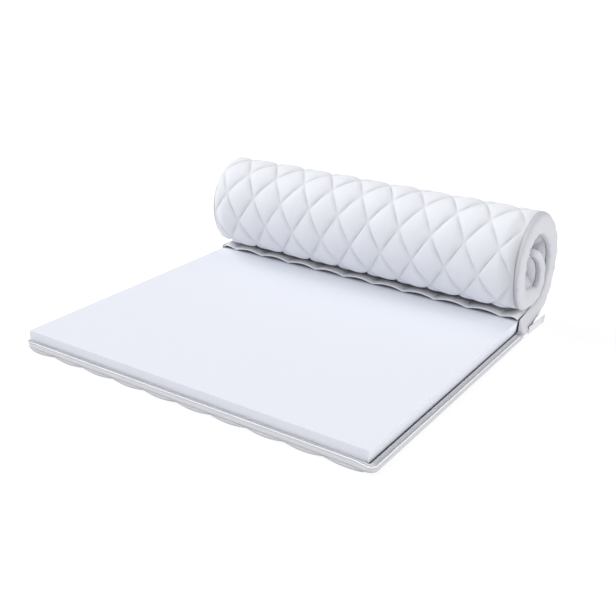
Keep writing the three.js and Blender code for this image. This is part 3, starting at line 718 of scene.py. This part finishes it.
# The lining is the panel's inner face, on the foam. Its grid is coarser.
lining_s = np.append(top_s[:-1:5], TAIL)
lining_u = top_u[::10]
lining_half = core_half(lining_s)[:, None]
lining_height = along_path(lining_s, FOAM_TOP)[:, None] + LINING_GAP
lining = at_height(lining_s[:, None], lining_u[None, :] * lining_half, lining_height)
lining_first = all_top.shape[0] * all_top.shape[1]
top_faces += grid_faces(len(lining_s), len(lining_u), lining_first, flip=True)
lining_count = lining.shape[0] * lining.shape[1]
lips = [at_height(top_s, u * core_half(top_s), along_path(top_s, FOAM_TOP) + LINING_GAP) for u in (-1, 1)]
end_lip = at_height(TAIL, top_u * core_half(TAIL), along_path(TAIL, FOAM_TOP) + LINING_GAP)
strips = edge_strips(top_faces, lining_first + lining_count, top_points, lips, end_lip, flip=True)
points = np.vstack([a.reshape(-1, 3) for a in (all_top, lining, *strips)])
top_uv = np.column_stack([points[:, 0], np.zeros(len(points))])
rows_s = np.concatenate([np.linspace(FOLD - NOSE_CLOTH, FOLD - LAST_ROW, len(NOSE)), top_s])
top_uv[:lining_first, 1] = np.repeat(rows_s, len(top_u))
top = add_mesh("quilted_upper_side", points, top_faces, top_uv)
# The same knit painted lighter: painted light on the folded edge and in the roll, where the roll shades
# them.
knit_painted_lighter, tree, main = knit("quilted_knit_painted_lighter", (0.86, 0.87, 0.91))
top.data.materials.append(knit_painted_lighter)
top.data.materials.append(painted_shade_inside)
# The lining, its edge strips and the rows under the fold take the near-black inside: painted shade.
cloth_of_face = np.zeros(len(top_faces), dtype=np.int32)
cloth_of_face[shown_faces:] = 1
for half_of_quad in (0, shown_faces // 2):
    cloth_of_face[half_of_quad:half_of_quad + UNDER_HEM * (len(top_u) - 1)] = 1
top.data.polygons.foreach_set("material_index", cloth_of_face)
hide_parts("top_panel")
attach(top, "root")
top_creases = crease_lines(top_points[:-1], 0, top_across, TOP_STEPS)
top_stitches = sew("upper_side_stitches", top_creases, QUILTING_PITCH, QUILTING_STITCH, thread)
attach(top_stitches, "root")

# Side border
# A strip of plain woven fabric sewn round between the two quilted panels. Where the cover is open it
# stands up as a soft rim round the foam, further off it on the right.

# Section of the open rim in millimetres: distance from the foam on the right, left and front, height,
# and how much higher the point is in front.
RIM = [
    (6.5, 1.2, 1, 13.6, 0), (6.5, 1.2, 1, 22, 0), (9, 2.4, 3, 24, 0),
    (17, 3.2, 7.5, 22.9, 0.6), (25, 6.2, 12.5, 18.3, 2.4), (28, 6.4, 17.6, 11.8, 4.6),
    (26, 5.6, 20, 6.6, 5.4), (18.6, 1.4, 15.5, 5.2, 5.6), (17, 0.8, 14.4, 13.6, 0),
]
# The same points where the cover is closed: distance in millimetres, share of the flare, share of the
# cover's height, height in millimetres, and share of the gape at the open end.
CLOSED = [
    (0.6, 0, 0, 20, 1), (0.6, 0, 1, -7.5, 1), (3, 0, 1, -5, 0.9),
    (7, 0.15, 0.8, 0, 0.5), (9.5, 0.5, 0.55, 0, 0), (9.5, 0.85, 0.32, 0, 0),
    (8.5, 0.95, 0.16, 1.5, 0), (4, 1, 0, 6.1, 0), (0.3, 1, 0, 13.4, 0),
]
# The same points at the roll's right and left ends: distance and height in millimetres, share of the
# cover's height, and share of the depth of the outer seam.
ROLL_RIGHT = [
    (0.6, 20, 0, 0), (0.6, -7.5, 1, 0), (8, -5, 1, 0),
    (18, 0, 0.85, 0), (25.5, 0, 0.52, 0), (22.5, 0, 0.21, 0),
    (15, 7.5, 0, 0), (6.5, 1, 0, 0.72), (0.3, 0.5, 0, 1),
]
ROLL_LEFT = [
    (0.6, 20, 0, 0), (0.6, -7.5, 1, 0), (1.5, -7, 1, 0),
    (2.5, 0, 0.82, 0), (3, 0, 0.5, 0), (2.8, 0, 0.32, 0),
    (2.2, 8, 0.16, 0), (1.2, 2, 0, 1), (0.3, 1, 0, 1),
]
# How far the closed cover gapes beside the end of the zip, in millimetres, and over what length.
GAPE = 5.5
GAPE_LENGTH = 0.095
# Points of the roll's right end that stand further off than this wave a little, in millimetres.
WAVE_FROM = 9
# Where along the cover the open rim ends, the closed form starts, and its even steps start.
RIM_END = 0.968
CLOSED_START = 0.975
CLOSED_EVEN = 0.990
# Towards the front corners the rim gives up the higher form that it has in front, over these lengths: all
# of it on the left, and on the right down to a share that it gives up round the corner.
LEFT_LOSS = 0.050
RIGHT_LOSS = 0.035
LEFT_FROM = round(CORE_HALF - LEFT_LOSS, 3)
RIGHT_FROM = round(CORE_HALF - RIGHT_LOSS, 3)
CORNER_SHARE = 0.65
# Stations across the front and the tail, and those added where the rim turns in at the left corner.
FRONT_STATIONS, TAIL_STATIONS = 81, 41
LEFT_TURN = (-0.598, -0.594, -0.590, -0.578)
# Length of a step on the closed cover, steps round a corner, and steps between a section's points.
CLOSED_STEP = 0.012
CORNER = 9
FINER = 4
# The curve through a section's points leaves each in the direction between its neighbours, by this share.
ROUNDNESS = 0.4
# One place on the way round: length along the cover, distance across from the middle, way out from the
# foam, share of the form that the rim has in front, whether the cover is closed there, and whether the
# place is on the right.
Station = namedtuple("Station", "s x out front closed right")


def rounded_section(section):
    """The section's points joined by a smooth closed curve."""
    section = np.array(section)
    count = len(section)
    out = []
    for i in range(count):
        a, b, c, d = (section[(i + k) % count] for k in (-1, 0, 1, 2))
        leave, reach = ROUNDNESS * (c - a), ROUNDNESS * (d - b)
        square = 3 * (c - b) - 2 * leave - reach
        cube = 2 * (b - c) + leave + reach
        for step in range(FINER):
            t = step / FINER
            out.append(b + leave * t + square * t**2 + cube * t**3)
    return np.array(out)


def rim_section(front, right):
    """Points of the open rim's section, in millimetres off the foam and up."""
    section = []
    for on_right, on_left, in_front, up, rise in RIM:
        beside = on_right if right else on_left
        section.append((beside * (1 - front) + in_front * front, up + rise * front))
    return section


def closed_section(s, right):
    """Points of the closed border's section, in millimetres off the foam and up, flat or in the roll."""
    spread = flare(s) * 1000 if right else 0
    thick = along_path(s, COVER_TOP) * 1000
    opened = GAPE * (1 - ease((s - CLOSED_START) / GAPE_LENGTH)) if right else 0
    flat = []
    for off, flare_share, share, up, gape in CLOSED:
        flat.append((off + flare_share * spread + gape * opened, share * thick + up))
    drawn = seam_depth(s) * 1000
    wave = 1 + 0.05 * math.sin(95 * s) + 0.04 * math.sin(211 * s + 1)
    wound = []
    for off, up, share, seam in ROLL_RIGHT if right else ROLL_LEFT:
        wound.append((off * (wave if off > WAVE_FROM else 1), up + share * thick + seam * drawn))
    return np.array(flat) * (1 - rolled(s)) + np.array(wound) * rolled(s)


def border_section(station):
    if station.closed:
        return closed_section(station.s, station.right)
    return rim_section(station.front, station.right)


def corner_stations(s, x, from_angle, front, closed, right):
    """Stations whose way out turns a quarter round a corner. front is the share that they start from."""
    turned = []
    for k in range(1, CORNER):
        angle = math.radians(from_angle + 90 * k / CORNER)
        way_out = (math.cos(angle), math.sin(angle))
        turned.append(Station(s, x, way_out, front * (1 - k / CORNER), closed, right))
    return turned


start = -PANEL_FRONT
tail_half = core_half(TAIL)
stations = []
for x in np.unique(np.append(np.linspace(-CORE_HALF, CORE_HALF, FRONT_STATIONS), LEFT_TURN)):
    by_left = max(0, (-x - LEFT_FROM) / LEFT_LOSS)
    by_right = ease((x - RIGHT_FROM) / RIGHT_LOSS)
    front = math.sqrt(max(0, 1 - by_left**2)) * (1 - (1 - CORNER_SHARE) * by_right)
    stations.append(Station(start, x, (0, -1), front, False, x > 0))
stations += corner_stations(start, CORE_HALF, -90, CORNER_SHARE, False, True)
side_s = np.unique(np.concatenate([
    np.arange(start, RIM_END, FLAT_STEP), [RIM_END, CLOSED_START],
    np.arange(CLOSED_EVEN, TAIL - LEAST_STEP, CLOSED_STEP), [TAIL],
]))
for s in side_s:
    stations.append(Station(s, core_half(s), (1, 0), 0, s > RIM_END + 1e-6, True))
stations += corner_stations(TAIL, tail_half, 0, 0, True, True)
for x in np.linspace(tail_half, -tail_half, TAIL_STATIONS):
    stations.append(Station(TAIL, x, (0, 1), 0, True, x > 0))
stations += corner_stations(TAIL, -tail_half, 90, 0, True, False)
for s in side_s[::-1]:
    stations.append(Station(s, -core_half(s), (-1, 0), 0, s > RIM_END + 1e-6, False))
stations += corner_stations(start, -CORE_HALF, 180, 0, False, False)


def section_points(station, section):
    """Points of a section in millimetres at a station of the border."""
    section = np.asarray(section) / 1000
    here = at_height(station.s, station.x, section[:, 1])
    way = np.array(way_along(station.s))
    out_x, out_y = station.out
    here[:, 0] += section[:, 0] * out_x
    here[:, 1:] += section[:, :1] * out_y * way / np.linalg.norm(way)
    return here


border_rings = [section_points(station, rounded_section(border_section(station))) for station in stations]
border_rings.append(border_rings[0])
border_points = np.array(border_rings)
# The strip's length is measured along its outermost row, and its width in steps of the section.
OUTERMOST = 5 * FINER
STRIP_STEP = 0.003
step = np.linalg.norm(np.diff(border_points[:, OUTERMOST], axis=0), axis=1)
border_run = np.r_[0, np.cumsum(step)]
ring = border_points.shape[1]
strip_up = np.arange(ring) * STRIP_STEP
border_uv = np.stack(np.broadcast_arrays(border_run[:, None], strip_up[None, :]), axis=-1)
border_faces = grid_faces(len(border_points), ring, looped=True, flip=True)
border = add_mesh("side_border_strip", border_points, border_faces, border_uv)
weave, tree, main = knit("border_weave", (0.66, 0.67, 0.715))
# Painted shade in its hollows where it stands upright.
upright = facing(tree, "Z", 0.8, 0.4)
shade_hollows(tree, main, reach=0.04, deepest=0.68, closed=0.3, opened=0.8, where=upright)
# Painted shade: it is lightest along the edge with the zip and greyest at the lower seam.
tone(tree, main, on_cloth(tree, "Y", 0.02, 0.04), share=0.87)
tone(tree, main, on_cloth(tree, "Y", 0.06, 0.092), share=0.82)
border.data.materials.append(weave)
border.data.materials.append(painted_shade_inside)
# The section's first edge is the cover's inside, painted near black as shade.
cloth_of_face = [1 if k % ring < FINER else 0 for k in range(len(border_faces))]
border.data.polygons.foreach_set("material_index", cloth_of_face)
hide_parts("side_border")
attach(border, "root")

# Zip half
# Woven tape on the slope of the open rim with a row of moulded teeth: the lower half of the cover's zip.
# It is sewn to the border by a row of lockstitch.

# The tape's section, the row of teeth and the seam, as places on the rim's slope: share of its width, and
# millimetres above it. Then the length along the cover at which the zip ends on either side.
TAPE = [(0.12, 0.5), (0.95, 0.5), (0.95, 1.3), (0.5, 1.6), (0.12, 1.3)]
TEETH = (0.42, 1.9)
TAPE_SEAM = (0.84, 1.5)
ZIP_END = 0.947


def on_slope(station, places):
    """Points at places on the rim's slope. In front, where it is steeper, they lie a millimetre higher."""
    section = np.array(border_section(station))
    upper = section[3] + (section[2] - section[3]) * station.front
    slope = section[4] - upper
    rise = np.array([-slope[1], slope[0]]) / np.linalg.norm(slope)
    rise = rise if rise[1] > 0 else -rise
    points = [upper + slope * share + rise * (up + station.front) for share, up in places]
    return section_points(station, points)


# The zip runs from the left end of the opening round the front to the right end.
zip_stations = [station for station in stations if not station.closed and station.s < ZIP_END]
first_left = next(i for i, station in enumerate(zip_stations) if station.out[0] < -0.99)
zip_stations = zip_stations[first_left:] + zip_stations[:first_left]
tape_points = np.array([on_slope(station, TAPE) for station in zip_stations])
tape = add_mesh("zip_tape", tape_points, grid_faces(len(tape_points), len(TAPE), looped=True, flip=True))
tape_material, tree, main = shader("zip_tape", (0.93, 0.935, 0.955), roughness=0.7)
add_grain(tree, main, scale=450, depth=0.0003, bands="DIAGONAL")
tape.data.materials.append(tape_material)
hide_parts("zip_half")
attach(tape, "root")
teeth_material, tree, main = shader("zip_teeth", (0.42, 0.43, 0.46), roughness=0.5)
add_grain(tree, main, scale=700, depth=0.0001)
TOOTH_PITCH = 0.0042
TOOTH = (0.0022, 0.0034, 0.0016)
teeth_line = np.vstack([on_slope(station, [TEETH]) for station in zip_stations])
teeth = sew("zip_teeth", [teeth_line], TOOTH_PITCH, TOOTH, teeth_material, solid="block")
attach(teeth, "root")
# The lockstitch runs along the tape's outer edge.
LOCK_PITCH = 0.0035
LOCK_STITCH = (0.0026, 0.0006, 0.0006)
tape_seam = np.vstack([on_slope(station, [TAPE_SEAM]) for station in zip_stations])
tape_stitches = sew("tape_stitches", [tape_seam], LOCK_PITCH, LOCK_STITCH, thread)
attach(tape_stitches, "root")

# Zip slider
# A small lacquered slider with its pull, left at the right end of the open zip.
slider_material, tree, main = shader("slider_lacquer", (0.40, 0.41, 0.44), roughness=0.4)
add_grain(tree, main, scale=500, depth=0.0001)
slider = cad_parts["zip_slider"]
slider.data.materials.clear()
slider.data.materials.append(slider_material)
bevel = slider.modifiers.new("cast_edge", "BEVEL")
bevel.width = 0.0005
bevel.segments = 2

# Label
# A blank folded tape sewn into the seam on the right, where it stands away from the border.

# All in millimetres. Along the label: y, and how far its lower and its upper edge stand out from the foam.
LABEL = [
    (1003, 24.1, 25.6), (1024, 24.7, 26.9), (1046, 25.4, 28.2),
    (1068, 26.4, 29.4), (1090, 27.4, 30.6), (1132, 29, 32),
]
LABEL_LOW, LABEL_HIGH = 2.5, 31
LABEL_THICK = 1
FOAM_SIDE = CORE_HALF * 1000
label_up = np.linspace(LABEL_LOW, LABEL_HIGH, 9)
label_rows = []
for y, low, high in LABEL:
    off = np.interp(label_up, [LABEL_LOW, LABEL_HIGH], [low, high])
    near = np.stack([off + FOAM_SIDE, np.full(len(label_up), y), label_up], axis=-1)
    far = near[::-1] + (LABEL_THICK, 0, 0)
    label_rows.append(np.vstack([near, far]) / 1000 + (MIDDLE_X, FRONT_Y, 0))
ring = 2 * len(label_up)
label_faces = grid_faces(len(LABEL), ring, looped=True)
for first, flip in ((0, True), ((len(LABEL) - 1) * ring, False)):
    for j in range(len(label_up) - 1):
        face = [first + j, first + j + 1, first + ring - 2 - j, first + ring - 1 - j]
        label_faces.append(face[::-1] if flip else face)
label = add_mesh("blank_label", np.vstack(label_rows), label_faces)
label_material, tree, main = shader("label_tape", (0.66, 0.665, 0.69), roughness=0.6)
add_grain(tree, main, scale=500, depth=0.0002, bands="Y")
label.data.materials.append(label_material)
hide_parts("label")
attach(label, "root")
# It is stitched along its foot, the thread just off its outer face.
FOOT_UP = 5
FOOT_OFF = LABEL_THICK + 0.2
foot = [(low + FOAM_SIDE + FOOT_OFF, y, FOOT_UP) for y, low, high in LABEL]
foot = np.array(foot) / 1000 + (MIDDLE_X, FRONT_Y, 0)
label_stitches = sew("label_stitches", [foot], LOCK_PITCH, LOCK_STITCH, thread)
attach(label_stitches, "root")

# Stage
# A plain pale floor that glows a little like a lit sweep, soft light from above and from the left in
# front, and the photo's camera.
FLOOR_SIZE = 60
FLOOR_GLOW = 0.86
SKY = 0.45
# The floor lies this far under the object, so that the faces on it don't flicker.
FLOOR_GAP = 0.0005
bpy.ops.mesh.primitive_plane_add(size=FLOOR_SIZE, location=(0, 0, -FLOOR_GAP))
floor = bpy.context.object
floor.name = "studio_floor"
floor_material, tree, main = shader("pale_floor", (0.16, 0.16, 0.16), roughness=0.85)
add_grain(tree, main, scale=40, depth=0.0002)
main.inputs["Emission Color"].default_value = (1, 1, 1, 1)
main.inputs["Emission Strength"].default_value = FLOOR_GLOW
floor.data.materials.append(floor_material)
world = bpy.data.worlds.new("studio")
world.use_nodes = True
sky = world.node_tree.nodes["Background"]
sky.inputs["Color"].default_value = (1, 1, 1, 1)
sky.inputs["Strength"].default_value = SKY
bpy.context.scene.world = world
bpy.context.scene.view_settings.view_transform = "Standard"


def looking(place, back, roll=0.0):
    """Matrix of a lamp or camera at place that looks against back, turned by roll about its own axis."""
    back = np.array(back) / np.linalg.norm(back)
    level = np.cross((0, 0, 1), back)
    level /= np.linalg.norm(level)
    rise = np.cross(back, level)
    right = level * math.cos(roll) + rise * math.sin(roll)
    up = rise * math.cos(roll) - level * math.sin(roll)
    return Matrix([[right[i], up[i], back[i], place[i]] for i in range(3)] + [[0, 0, 0, 1]])


# Lights: name, direction towards it, strength, angle across it in degrees.
for name, towards, strength, across in (
    ("window", (-1, -0.16, 0.68), 2.4, 50),
    ("side_lamp", (1, -0.16, 0.3), 1.8, 60),
    ("ceiling", (0, 0, 1), 0.15, 60),
):
    sun = bpy.data.lights.new(name, "SUN")
    sun.angle = math.radians(across)
    sun.energy = strength
    add_object(name, sun).matrix_world = looking((0, 0, 3), towards)
# The camera as solved from the straight edges of the bare foam: its angles, its place from the middle of
# the foam's front, and its lens in millimetres.
AZIMUTH, ELEVATION, ROLL = (math.radians(v) for v in (32.78, 22.99, 1.42))
CAMERA_PLACE = (1.531, -1.735, 1.2624)
LENS, SENSOR = 54.75, 36
level_back = math.cos(ELEVATION)
back = (math.sin(AZIMUTH) * level_back, -math.cos(AZIMUTH) * level_back, math.sin(ELEVATION))
camera = add_object("photo_camera", bpy.data.cameras.new("photo_camera"))
camera_x, camera_y, camera_z = CAMERA_PLACE
camera.matrix_world = looking((camera_x + MIDDLE_X, camera_y + FRONT_Y, camera_z), back, ROLL)
camera.data.sensor_width = SENSOR
camera.data.lens = LENS
camera.data.clip_end = FLOOR_SIZE
bpy.context.scene.camera = camera
